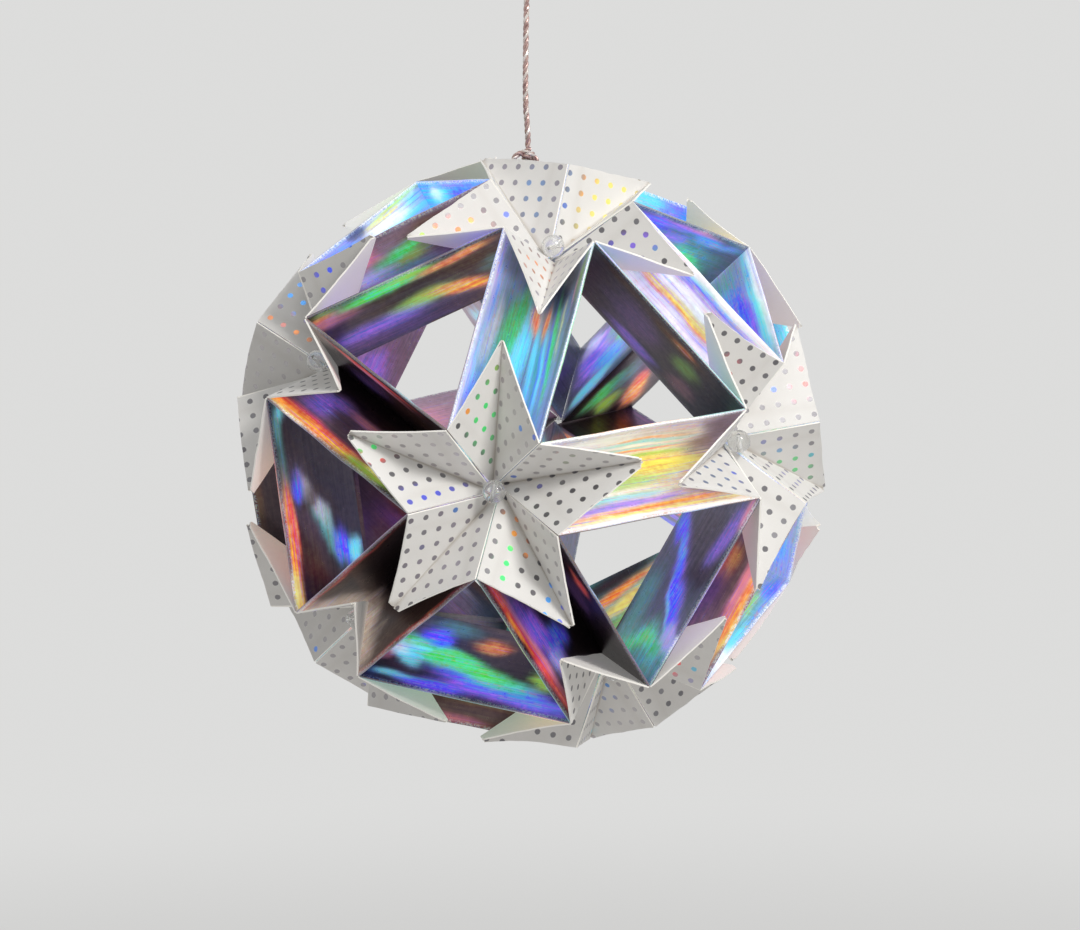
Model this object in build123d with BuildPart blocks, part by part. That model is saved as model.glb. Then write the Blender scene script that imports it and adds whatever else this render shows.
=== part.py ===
"""Kusudama ball: thirty folded paper units, twelve glass beads and a hanging thread.

Millimetres and degrees, +Z up along the thread, origin at the ball's centre.
Twelve stars face outwards, each with a glass bead in its middle. A paper unit joins each
two neighbouring stars: a V trough with an arm folded back over either end of it.
Every star is turned a little the same way, so the ball is handed.
"""
import os
from itertools import combinations, product
from math import atan, cos, degrees, radians, sin, sqrt, tan

from build123d import *

# Stars: a height runs along a star's axis from the ball's centre, a reach out from that axis
floor_height = 41.0
shoulder_height = 53.4
shoulder_reach = 13.1
shoulder_turn = 2.8
tip_height = 47.0
tip_reach = 25.7
tip_turn = 5.6
tip_width = 1.5
edge_hollow = 0.3

# Paper: a trough's walls are two layers pressed together, an arm is one
wall_thickness = 0.7
arm_thickness = 0.35

# Glass beads, each lying on the five ridges of its star
bead_diameter = 4.0
bead_gap = 0.1

# Thread, tied through a hole below one rim, and again at its top for hanging
thread_diameter = 1.1
thread_length = 34.0
tie_radius = 2.5
hanging_radius = 5.0
knot_diameter = 2.7
knot_height = 2.6
hole_clearance = 0.2
hole_drop = 2.4
hole_shift = 1.9

# Star axes are the corners of an icosahedron, and a unit lies across each of its edges
golden = (1 + sqrt(5)) / 2
star_tilt = degrees(atan(1 / golden))
star_step = 360 / 5

# A unit's own frame has X along the unit and Z outwards; its first star leans towards +X
star_plane = Plane(
    origin=(0, 0, 0),
    x_dir=Vector(-1, 0, 0).rotate(Axis.Y, star_tilt),
    z_dir=Vector(0, 0, 1).rotate(Axis.Y, star_tilt),
)


def star_point(reach, azimuth, height):
    """A point of the unit's first star; azimuth 0 points along the unit."""
    return star_plane.from_local_coords(Vector(reach, 0, height).rotate(Axis.Z, azimuth))


def plan(point):
    """The point as seen along its star's axis."""
    local = star_plane.to_local_coords(point)
    return Vector(local.X, local.Y)


def far(point):
    """The same point or direction at the unit's other star, half a turn about Z."""
    return Vector(-point.X, -point.Y, point.Z)


def turned(plane):
    """The same plane at the unit's other star."""
    return Plane(origin=far(plane.origin), x_dir=far(plane.x_dir), z_dir=far(plane.z_dir))


def upward(direction):
    """The direction at length one, turned round if it points into the ball."""
    return direction.normalized() * (1 if direction.Z > 0 else -1)


shoulder_a = star_point(shoulder_reach, shoulder_turn + star_step / 2, shoulder_height)
shoulder_b = star_point(shoulder_reach, shoulder_turn - star_step / 2, shoulder_height)
tip = star_point(tip_reach, tip_turn, tip_height)


def corner_at(swing):
    """The folded corner at the star's middle, for ridges that swing past its axis."""
    miss = shoulder_reach * sin(radians(swing)) / cos(radians(star_step / 2))
    return star_point(miss, shoulder_turn + swing - 90, floor_height)


def warp(swing):
    """How far a wall's four corners are from one plane, as a signed volume."""
    end = corner_at(swing)
    return (shoulder_a - end).cross(far(shoulder_b) - end).dot(far(end) - end)


# Both walls are flat at one swing only, found by halving the range that holds it
low, high = -20.0, 20.0
while high - low > 1e-12:
    swing = (low + high) / 2
    if (warp(swing) > 0) == (warp(high) > 0):
        high = swing
    else:
        low = swing
corner = corner_at(swing)

# The planes that bound a trough, each with its normal pointing out of the paper
rim_run = shoulder_a - far(shoulder_b)
rim_middle = (shoulder_a + far(shoulder_b)) / 2
wall_normal = upward(rim_run.cross(shoulder_a - corner))
wall_up = upward(rim_run.cross(wall_normal))
rim = Plane(origin=rim_middle, x_dir=rim_run, z_dir=wall_up)
mitre_a = Plane(
    origin=corner, x_dir=star_plane.z_dir, z_dir=star_plane.z_dir.cross(shoulder_a - corner)
)
mitre_b = Plane(
    origin=corner, x_dir=star_plane.z_dir, z_dir=(shoulder_b - corner).cross(star_plane.z_dir)
)


def vee(profile, wing_a, wing_b, length):
    """Three points of a V in a profile plane: its fold, with wings that aim at two points."""
    ends = []
    for aim in (wing_a, wing_b):
        local = profile.to_local_coords(aim)
        ends.append(Vector(local.X, local.Y).normalized() * length)
    return [ends[0], Vector(0, 0), ends[1]]


# Trough: a V section along its valley, cut at the rims and where units meet
wing_length = (shoulder_a - corner).length + wall_thickness
valley = Plane(origin=(0, 0, corner.Z), x_dir=(0, 1, 0), z_dir=corner - far(corner))
with BuildPart() as trough:
    with BuildSketch(valley):
        with BuildLine():
            Polyline(vee(valley, shoulder_a, far(shoulder_a), wing_length))
            offset(amount=wall_thickness / 2, side=Side.BOTH, kind=Kind.INTERSECTION)
        make_face()
    extrude(amount=shoulder_height, both=True)
    for cut in (rim, mitre_a, mitre_b):
        split(bisect_by=cut, keep=Keep.BOTTOM)
        split(bisect_by=turned(cut), keep=Keep.BOTTOM)


def hollowed(start, end):
    """Middle of an arm's free edge, drawn in towards the arm's fold."""
    inwards = (plan(corner) + plan(tip)) / 2 - (start + end) / 2
    across = (end - start).cross(Vector(0, 0, 1)).normalized()
    return (start + end) / 2 + across * (edge_hollow if across.dot(inwards) > 0 else -edge_hollow)


# Arm: a shallower V from the corner to the tip, cut to a kite as seen along the star's axis
arm_fold = Plane(origin=corner, x_dir=(0, 1, 0), z_dir=tip - corner)
half_tip = (plan(tip) - plan(corner)).cross(Vector(0, 0, 1)).normalized() * tip_width / 2
side_a, side_b = plan(shoulder_a), plan(shoulder_b)
tip_a, tip_b = plan(tip) - half_tip, plan(tip) + half_tip
with BuildPart() as arm:
    with BuildSketch(arm_fold):
        with BuildLine():
            Polyline(vee(arm_fold, shoulder_a, shoulder_b, wing_length))
            offset(amount=arm_thickness / 2, side=Side.BOTH, kind=Kind.INTERSECTION)
        make_face()
    extrude(amount=2 * tip_reach, both=True)
    with BuildSketch(star_plane):
        with BuildLine():
            Polyline(side_a, plan(corner), side_b)
            ThreePointArc(side_b, hollowed(side_b, tip_b), tip_b)
            Line(tip_b, tip_a)
            ThreePointArc(tip_a, hollowed(tip_a, side_a), side_a)
        make_face()
    extrude(amount=2 * shoulder_height, mode=Mode.INTERSECT)

# Unit: the walls' top edges are cleared from inside both stars, and the arms close them
with BuildPart() as unit:
    add(trough.part)
    with BuildSketch(arm_fold, turned(arm_fold)):
        with BuildLine():
            Polyline(vee(arm_fold, shoulder_a, shoulder_b, 2 * wing_length), close=True)
        make_face()
    extrude(amount=shoulder_reach, both=True, mode=Mode.SUBTRACT)
    add(arm.part)
    add(arm.part.rotate(Axis.Z, 180))

# The unit that the ball hangs by has a hole for the thread below the middle of one rim
hole = Plane(
    origin=rim_middle + rim_run.normalized() * hole_shift - wall_up * hole_drop,
    x_dir=wall_up,
    z_dir=wall_normal,
)
with BuildPart() as hung_unit:
    add(unit.part)
    with BuildSketch(hole):
        Circle((thread_diameter + hole_clearance) / 2)
    extrude(amount=wall_thickness, both=True, mode=Mode.SUBTRACT)

# Units and stars are numbered by how far they are from this direction, just beside the thread
count_from = Vector(1, -4, 23)

# The ball hangs with that thread plumb and one star to the front
star_axes = []
for one, two in product((1, -1), repeat=2):
    star_axes.append(Vector(one, 0, two * golden).normalized())
    star_axes.append(Vector(0, one * golden, two).normalized())
    star_axes.append(Vector(one * golden, two, 0).normalized())
front_star = Vector(-golden, 1, 0)
knot_place = hole.origin + wall_up * 2 * tie_radius
hung = Plane(origin=(0, 0, 0), x_dir=knot_place.cross(front_star), z_dir=knot_place)


def from_top(middle):
    """Place of a piece in the count from the top, the same whatever the sizes are."""
    return middle.get_angle(count_from)


def finish(piece, name):
    """Label a piece and write it to its own file."""
    piece.label = name
    export_step(piece, f"parts/{name}.step")


os.makedirs("parts", exist_ok=True)
edges = [pair for pair in combinations(star_axes, 2) if pair[0].get_angle(pair[1]) < star_step]
edges.sort(key=lambda pair: from_top(pair[0] + pair[1]))
for number, (first, second) in enumerate(edges, start=1):
    place = Plane(origin=(0, 0, 0), x_dir=first - second, z_dir=first + second)
    folded = hung_unit.part if number == 1 else unit.part
    finish(folded.moved(hung.location.inverse() * place.location), f"unit_{number:02d}")

# Beads: of the two ridges a unit has at a star, the second passes right under the bead
ridge = shoulder_b - corner
ridge_slope = radians(90 - ridge.get_angle(star_plane.z_dir))
ridge_miss = plan(corner).length * cos(radians(star_step / 2))
under_bead = floor_height + plan(corner).length * sin(radians(star_step / 2)) * tan(ridge_slope)
top_rise = arm_thickness / 2 / sin(radians(ridge.cross(tip - corner).get_angle(mitre_b.z_dir)))
bead_rise = sqrt((bead_diameter / 2 + bead_gap) ** 2 - ridge_miss**2)
bead_height = under_bead + (bead_rise + top_rise) / cos(ridge_slope)
for number, axis in enumerate(sorted(star_axes, key=from_top), start=1):
    with BuildPart() as bead:
        with Locations(hung.to_local_coords(axis * bead_height)):
            Sphere(bead_diameter / 2)
    finish(bead.part, f"bead_{number:02d}")


def tied(knot_middle, ring_middle, ring_axis, name):
    """A loop of thread, with the knot that closes it wound about the thread's own line."""
    with BuildPart() as loop:
        with Locations(knot_middle):
            Cylinder(knot_diameter / 2, knot_height)
        fillet(loop.edges().filter_by(GeomType.CIRCLE), (knot_diameter - thread_diameter) / 2)
        with Locations(Plane(origin=ring_middle, z_dir=ring_axis)):
            Torus((ring_middle - knot_middle).length, thread_diameter / 2)
    finish(loop.part, name)


# Thread: the lower loop goes through the hole and round the rim, the upper one takes a hook
knot = hung.to_local_coords(knot_place)
tie_middle = hung.to_local_coords(hole.origin + wall_up * tie_radius)
tied(knot, tie_middle, hung.to_local_coords(rim_run), "rim_loop")
thread_foot = knot + Vector(0, 0, knot_height / 2)
with BuildPart() as thread:
    with Locations(thread_foot):
        Cylinder(thread_diameter / 2, thread_length, align=(Align.CENTER, Align.CENTER, Align.MIN))
finish(thread.part, "thread")
top_knot = thread_foot + Vector(0, 0, thread_length + knot_height / 2)
tied(top_knot, top_knot + Vector(0, 0, hanging_radius), Vector(0, 1, 0), "hanging_loop")
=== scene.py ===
"""Kusudama paper ball: foil troughs, dotted stars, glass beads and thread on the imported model.

Metres, +Z up along the thread, origin at the ball's centre.
"""

from itertools import combinations, product
from math import asin, atan, cos, exp, pi, radians, sin, sqrt
from random import Random

import bmesh
import bpy
from mathutils import Matrix, Vector, noise


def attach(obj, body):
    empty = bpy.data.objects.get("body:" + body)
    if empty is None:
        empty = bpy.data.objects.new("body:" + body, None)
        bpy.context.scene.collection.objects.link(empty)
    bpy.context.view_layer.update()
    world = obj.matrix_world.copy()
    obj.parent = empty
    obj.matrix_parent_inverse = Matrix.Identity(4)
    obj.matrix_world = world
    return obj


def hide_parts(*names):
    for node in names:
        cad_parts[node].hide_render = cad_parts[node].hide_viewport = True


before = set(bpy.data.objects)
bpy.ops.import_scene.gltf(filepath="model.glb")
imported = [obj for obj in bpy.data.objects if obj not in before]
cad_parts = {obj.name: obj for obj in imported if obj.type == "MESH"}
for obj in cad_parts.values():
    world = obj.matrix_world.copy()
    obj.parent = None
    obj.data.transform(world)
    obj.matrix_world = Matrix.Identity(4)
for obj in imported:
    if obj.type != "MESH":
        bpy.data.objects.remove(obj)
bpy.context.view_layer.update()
scene = bpy.context.scene
mm = 0.001

# Camera at the photograph's angle
camera_place = Vector((69.74, -495.54, 14.66)) * mm
camera_aim = Vector((1.75, 0.155, -2.46)) * mm
camera_roll = radians(-0.42)
camera_lens = 91.25

camera = bpy.data.objects.new("camera", bpy.data.cameras.new("camera"))
camera.data.lens = camera_lens
camera.data.sensor_width = 36
camera.data.clip_start = 0.01
camera.location = camera_place
look = (camera_aim - camera_place).to_track_quat("-Z", "Y").to_matrix()
camera.rotation_euler = (look @ Matrix.Rotation(camera_roll, 3, "Z")).to_euler()
scene.collection.objects.link(camera)
scene.camera = camera

# Sizes of the ball, as its solids have them
floor_height = 41.0 * mm
shoulder_height = 53.4 * mm
shoulder_reach = 13.1 * mm
shoulder_turn = radians(2.8)
tip_height = 47.0 * mm
tip_reach = 25.7 * mm
tip_turn = radians(5.6)
tip_width = 1.5 * mm
wall_thickness = 0.5 * mm
wall_shy = 0.45 * mm
arm_thickness = 0.3 * mm
ridge_gap = 0.010
dot_pitch = 2.95 * mm
bead_diameter = 4.0 * mm
bead_height = 44.393 * mm
thread_diameter = 1.1 * mm
thread_length = 34.0 * mm
tie_radius = 2.5 * mm
hanging_radius = 5.0 * mm
knot_diameter = 2.7 * mm
knot_height = 2.6 * mm
hole_drop = 2.4 * mm
hole_shift = 1.9 * mm

golden = (1 + sqrt(5)) / 2
star_tilt = atan(1 / golden)
star_step = radians(72)
star_turn = Matrix.Rotation(star_tilt, 3, "Y") @ Matrix.Rotation(pi, 3, "Z")


def star_point(reach, azimuth, height):
    """A point of a unit's first star; azimuth 0 points along the unit."""
    return star_turn @ Vector((reach * cos(azimuth), reach * sin(azimuth), height))


def far(point):
    """The same point at the unit's other star, half a turn about its middle."""
    return Vector((-point.x, -point.y, point.z))


shoulder_a = star_point(shoulder_reach, shoulder_turn + star_step / 2, shoulder_height)
shoulder_b = star_point(shoulder_reach, shoulder_turn - star_step / 2, shoulder_height)
tip = star_point(tip_reach, tip_turn, tip_height)


def corner_at(swing):
    """The folded corner at the star's middle, for ridges that swing past its axis."""
    miss = shoulder_reach * sin(swing) / cos(star_step / 2)
    return star_point(miss, shoulder_turn + swing - pi / 2, floor_height)


def warp(swing):
    """How far a wall's four corners are from one plane."""
    end = corner_at(swing)
    return (shoulder_a - end).cross(far(shoulder_b) - end).dot(far(end) - end)


low, high = radians(-20), radians(20)
while high - low > 1e-9:
    swing = (low + high) / 2
    if (warp(swing) > 0) == (warp(high) > 0):
        high = swing
    else:
        low = swing
corner = corner_at(swing)
rim_run = shoulder_a - far(shoulder_b)
rim_middle = (shoulder_a + far(shoulder_b)) / 2
wall_normal = rim_run.cross(shoulder_a - corner).normalized()
wall_normal *= 1 if wall_normal.z > 0 else -1
wall_up = rim_run.cross(wall_normal).normalized()
wall_up *= 1 if wall_up.z > 0 else -1

# Stars and units, counted from the top; the ball hangs with its knot above its centre
star_axes = []
for one, two in product((1, -1), repeat=2):
    star_axes.append(Vector((one, 0, two * golden)).normalized())
    star_axes.append(Vector((0, one * golden, two)).normalized())
    star_axes.append(Vector((one * golden, two, 0)).normalized())
hole_place = rim_middle + rim_run.normalized() * hole_shift - wall_up * hole_drop
knot_place = hole_place + wall_up * 2 * tie_radius
count_from = Vector((1, -4, 23))
across = knot_place.cross(Vector((-golden, 1, 0))).normalized()
upright = knot_place.normalized()
hung = Matrix((across, upright.cross(across), upright))
edges = [pair for pair in combinations(star_axes, 2) if pair[0].angle(pair[1]) < star_step]
edges.sort(key=lambda pair: (pair[0] + pair[1]).angle(count_from))
star_axes.sort(key=lambda axis: axis.angle(count_from))


def placed(first, second):
    """Turn that brings a unit's own frame to its place in the hanging ball."""
    along, out = (first - second).normalized(), (first + second).normalized()
    return hung @ Matrix((along, out.cross(along), out)).transposed()


# Shader maths

class Field:
    """A value that varies over a surface; sums on it add Math nodes to its material."""

    def __init__(self, finish, socket):
        self.finish, self.socket = finish, socket

    def sum(self, operation, *others, clamp=False):
        """One Math node with this value in its first socket."""
        return self.finish.node(
            "ShaderNodeMath", {"operation": operation, "use_clamp": clamp},
            dict(enumerate((self, *others))),
        )[0]

    def __add__(self, other): return self.sum("ADD", other)
    __radd__ = __add__
    def __sub__(self, other): return self.sum("SUBTRACT", other)
    def __rsub__(self, other): return (self * -1).sum("ADD", other)
    def __mul__(self, other): return self.sum("MULTIPLY", other)

    def kept(self):
        """The value held between 0 and 1."""
        return self.sum("ADD", 0.0, clamp=True)

    def step(self, low, high):
        """0 below low, 1 above high, and smooth between."""
        return self.finish.node(
            "ShaderNodeMapRange", {"interpolation_type": "SMOOTHSTEP"},
            {"Value": self, "From Min": low, "From Max": high},
        )[0]


class Finish:
    """A material or the world, and its nodes."""

    def __init__(self, material):
        self.material = material
        material.use_nodes = True
        self.tree = material.node_tree
        self.shader = self.tree.nodes.get("Principled BSDF")
        self.output = self.tree.nodes.get("Material Output")

    def node(self, kind, settings=None, inputs=None):
        """A node with its settings and inputs; returns its outputs as fields."""
        made = self.tree.nodes.new(kind)
        for name, value in (settings or {}).items():
            if name == "stops":
                ramp = made.color_ramp.elements
                while len(ramp) < len(value):
                    ramp.new(0.5)
                for stop, (place, colour) in zip(ramp, value):
                    stop.position = place
                for stop, (place, colour) in zip(ramp, value):
                    stop.color = (*colour, 1)
            else:
                setattr(made, name, value)
        self.feed(made, inputs or {})
        return [Field(self, socket) for socket in made.outputs if socket.enabled]

    def feed(self, made, inputs):
        """Set or link a node's inputs by name or number."""
        for name, value in inputs.items():
            sockets = made.inputs
            if isinstance(name, int):
                sockets = [socket for socket in sockets if socket.enabled]
            if isinstance(value, Field):
                self.tree.links.new(value.socket, sockets[name])
            else:
                sockets[name].default_value = value

    def attribute(self, name):
        """A named attribute of the piece: colour, vector, factor, alpha."""
        return self.node("ShaderNodeAttribute", {"attribute_name": name})

    def vector(self, operation, *inputs):
        """One Vector Math node."""
        return self.node("ShaderNodeVectorMath", {"operation": operation}, dict(enumerate(inputs)))

    def noise(self, place, scale, detail=2.0, roughness=0.5):
        """Noise between 0 and 1."""
        return self.node(
            "ShaderNodeTexNoise", {},
            {"Vector": place, "Scale": scale, "Detail": detail, "Roughness": roughness},
        )[0]

    def stretched(self, place, rates, detail, roughness):
        """Noise that changes at its own rate along each direction."""
        return self.noise(self.vector("MULTIPLY", place, rates)[0], 1.0, detail, roughness)

    def rainbow(self, place):
        """Colour at a place in the rainbow, which starts again at each whole number."""
        return self.node(
            "ShaderNodeValToRGB", {"stops": rainbow_stops}, {"Fac": place.sum("FRACT")}
        )[0]

    def mix(self, factor, first, second):
        """Colour between two colours."""
        inputs = {0: factor, 1: first, 2: second}
        return self.node("ShaderNodeMix", {"data_type": "RGBA"}, inputs)[0]

    def seen(self):
        """1 on what the camera sees straight, in a reflection or through glass."""
        path = self.node("ShaderNodeLightPath")
        return path[0].sum("MAXIMUM", path[3].sum("MAXIMUM", path[6]))

    def bump(self, height, strength, distance):
        """Fine relief on the shader's normal."""
        normal = self.node(
            "ShaderNodeBump", {},
            {"Height": height, "Strength": strength, "Distance": distance},
        )[0]
        self.feed(self.shader, {"Normal": normal})


def colour(red, green, blue):
    """A colour with its alpha."""
    return (red, green, blue, 1.0)


# Colours that the foil shows, white among them for painted highlights and black for painted shade,
# and the order in which they follow each other in its streaks
tints = {
    "black": (0.045, 0.033, 0.036), "plum": (0.11, 0.082, 0.10), "brown": (0.17, 0.09, 0.06),
    "mauve": (0.26, 0.19, 0.26), "slate": (0.16, 0.18, 0.24), "steel": (0.26, 0.36, 0.55),
    "silver": (0.50, 0.51, 0.56), "lavender": (0.42, 0.44, 0.86), "white": (0.92, 0.93, 0.95),
    "cream": (0.60, 0.54, 0.45), "purple": (0.20, 0.11, 0.32), "violet": (0.26, 0.15, 0.92),
    "blue": (0.07, 0.13, 0.98), "azure": (0.08, 0.40, 0.95), "cyan": (0.14, 0.76, 0.88),
    "teal": (0.11, 0.42, 0.38), "green": (0.09, 0.80, 0.22), "leaf": (0.34, 0.64, 0.10),
    "yellow": (0.86, 0.76, 0.22), "orange": (1.0, 0.36, 0.08), "red": (0.95, 0.13, 0.10),
    "rose": (0.90, 0.28, 0.42),
}
rainbow_order = (
    "violet", "blue", "azure", "cyan", "green", "leaf", "yellow", "orange", "red", "rose", "violet"
)
rainbow_stops = [(place / 10, tints[name]) for place, name in enumerate(rainbow_order)]

# Foil: rates of its noises along a unit and across it, how far its hue strays, how strongly its
# painted light glows, and the band of a wall, in millimetres from its rim, over which it is worn
streak_rates = (0.06, 1.5, 1.0)
fine_rates = (0.14, 6.0, 1.0)
line_rates = (0.05, 2.3, 1.0)
hue_shift = 0.30
painted_glow = 0.42
foil_relief = 0.12 * mm
wear_start, wear_end = 0.9, 0.1
wall_height = (shoulder_a - corner).length / mm


def foil(name, is_rim):
    """Holographic foil: painted sheens and painted shade broken up by fine streaks of the rainbow
    along the unit; where the painted light is bright it glows and shows painted white glints.
    """
    made = Finish(bpy.data.materials.new(name))
    run = made.attribute("run")[1]
    sheen = made.attribute("sheen")
    tone, lit = sheen[0], sheen[3]
    streak = made.stretched(run, streak_rates, 3.0, 0.6)
    fine = made.stretched(run, fine_rates, 2.0, 0.6)
    line = made.stretched(run, line_rates, 3.0, 0.65)
    mottle = made.noise(run, 0.8, 4.0, 0.65)
    grain = made.noise(run, 6.0, 2.0, 0.7)
    crack = made.noise(run, 2.6, 3.0, 0.75)
    level = streak.step(0.32, 0.68) * 0.22 + fine.step(0.3, 0.7) * 0.14
    level = level + mottle.step(0.3, 0.7) * 0.24 + grain * 0.14 + 0.66
    shade = made.vector("MULTIPLY", tone, level)[0]
    shade = made.node("ShaderNodeHueSaturation", {}, {
        "Hue": 0.5 + (streak * 0.6 + mottle * 0.4 - 0.5) * hue_shift,
        "Saturation": 1.05, "Color": shade,
    })[0]
    rainbow = made.rainbow(line * 2.2 + fine * 0.4 + mottle * 0.9)
    shade = made.mix(lit * (line.step(0.50, 0.64) * 0.42 + 0.05), shade, rainbow)
    # Painted white glints where the painted light is bright
    glint = (fine.step(0.56, 0.74) * 0.22 + grain.step(0.60, 0.78) * 0.22) * lit
    shade = made.mix(glint.kept(), shade, colour(0.96, 0.97, 1.0))
    spark = made.rainbow(crack * 6.0)
    # Worn cracks show speckled foil and the white core, whiter where the painted light is bright
    worn_tint = made.mix((lit * 0.5 + 0.3).kept(), spark, colour(0.94, 0.95, 0.97))
    if is_rim:
        worn = crack.step(0.44, 0.56)
        shade = made.mix(worn * (lit * 0.70 + 0.22), made.mix(0.15, shade, spark), worn_tint)
        made.feed(made.shader, {"Metallic": 0.35 - worn * 0.2, "Roughness": 0.42})
    else:
        height = made.vector("DOT_PRODUCT", run, (0.0, 1.0, 0.0))[0].sum("ABSOLUTE")
        edge = height.step(wall_height - wear_start, wall_height - wear_end)
        worn = crack.step(0.46, 0.56) * edge
        shade = made.mix((worn * (lit * 0.25 + 0.70)).kept(), shade, worn_tint)
        made.feed(made.shader, {
            "Metallic": 0.80 - lit * 0.30 - worn * 0.3, "Roughness": 0.34 - mottle * 0.10,
        })
    # The foil glows by emission where its painted light is bright
    made.feed(made.shader, {
        "Base Color": shade, "Emission Color": made.mix(lit, colour(0, 0, 0), shade),
        "Emission Strength": painted_glow,
    })
    made.bump(fine * 0.3 + made.noise(run, 0.7, 1.0), 0.18, foil_relief)
    return made.material


# Paper: its tints with dots and without, and its dots, as shares of the gap from dot to dot
dotted_tints = ((0.79, 0.775, 0.75), (0.87, 0.86, 0.84))
plain_tints = ((0.86, 0.83, 0.77), (0.92, 0.90, 0.86))
dot_radius = 0.178
dot_softness = 0.045
dot_wobble = 0.05
stray_dots = 0.97
paper_relief = 0.06 * mm
dot_relief = 0.08 * mm


def paper(name, dotted):
    """White paper with small foil dots on its outer face; painted crease shade and painted glow."""
    made = Finish(bpy.data.materials.new(name))
    flat = made.attribute("flat")[1]
    grain = made.noise(flat, 16.0, 4.0, 0.65)
    cloud = made.noise(flat, 0.5, 3.0)
    dull, clean = dotted_tints if dotted else plain_tints
    shade = made.mix(cloud, colour(*dull), colour(*clean))
    shade = made.mix(grain.step(0.35, 0.75) * 0.14, shade, colour(0.66, 0.63, 0.62))
    # Painted shade along the arm's fold and the line pressed across it
    crease = made.attribute("crease")[2]
    shade = made.mix(crease * 0.45, shade, colour(0.40, 0.34, 0.27))
    if not dotted:
        # The plain face glows faintly by emission: painted light on the arms' undersides
        made.feed(made.shader, {
            "Base Color": shade, "Roughness": 0.62,
            "Emission Color": colour(0.92, 0.92, 0.88), "Emission Strength": 0.16,
        })
        made.bump(grain, 0.25, paper_relief)
        return made.material
    cell = made.vector("FLOOR", flat)[0]
    inside = made.vector("SUBTRACT", made.vector("FRACTION", flat)[0], (0.5, 0.5, 0.0))[0]
    inside = made.vector("MULTIPLY", inside, (1.0, 1.0, 0.0))[0]
    reach = made.vector("LENGTH", inside)[0] + made.noise(flat, 7.0, 2.0) * dot_wobble
    dot = 1.0 - reach.step(dot_radius, dot_radius + dot_softness)
    lot = made.node("ShaderNodeTexWhiteNoise", {}, {"Vector": cell})[0]
    spark = made.attribute("spark")
    # Dots dark on halves facing the key lamp, pale on halves facing away: painted reflection
    pale = made.attribute("pale")[2]
    grey = made.mix(lot, colour(0.15, 0.145, 0.155), colour(0.28, 0.275, 0.29))
    grey = made.mix(pale, grey, colour(0.54, 0.515, 0.53))
    vivid = (spark[3] * 1.5 - lot * 0.5).kept()
    stray = lot.step(stray_dots - 0.005, stray_dots + 0.005)
    grey = made.mix(stray * 0.7, grey, made.rainbow(lot * 7.3))
    foiled = made.mix(vivid, grey, spark[0])
    # Vivid dots glow by emission: painted glints
    made.feed(made.shader, {
        "Base Color": made.mix(dot, shade, foiled),
        "Metallic": dot * 0.75,
        "Roughness": 0.60 - dot * 0.22,
        "Emission Color": made.mix(dot * vivid, colour(0, 0, 0), spark[0]),
        "Emission Strength": 0.30,
    })
    made.bump(grain * 0.5 - dot * 0.4, 0.3, dot_relief)
    return made.material


foil_face = foil("holographic_foil", False)
foil_rim = foil("cracked_foil_rim", True)
dotted_face = paper("dotted_paper", True)
plain_face = paper("plain_paper", False)
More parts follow.
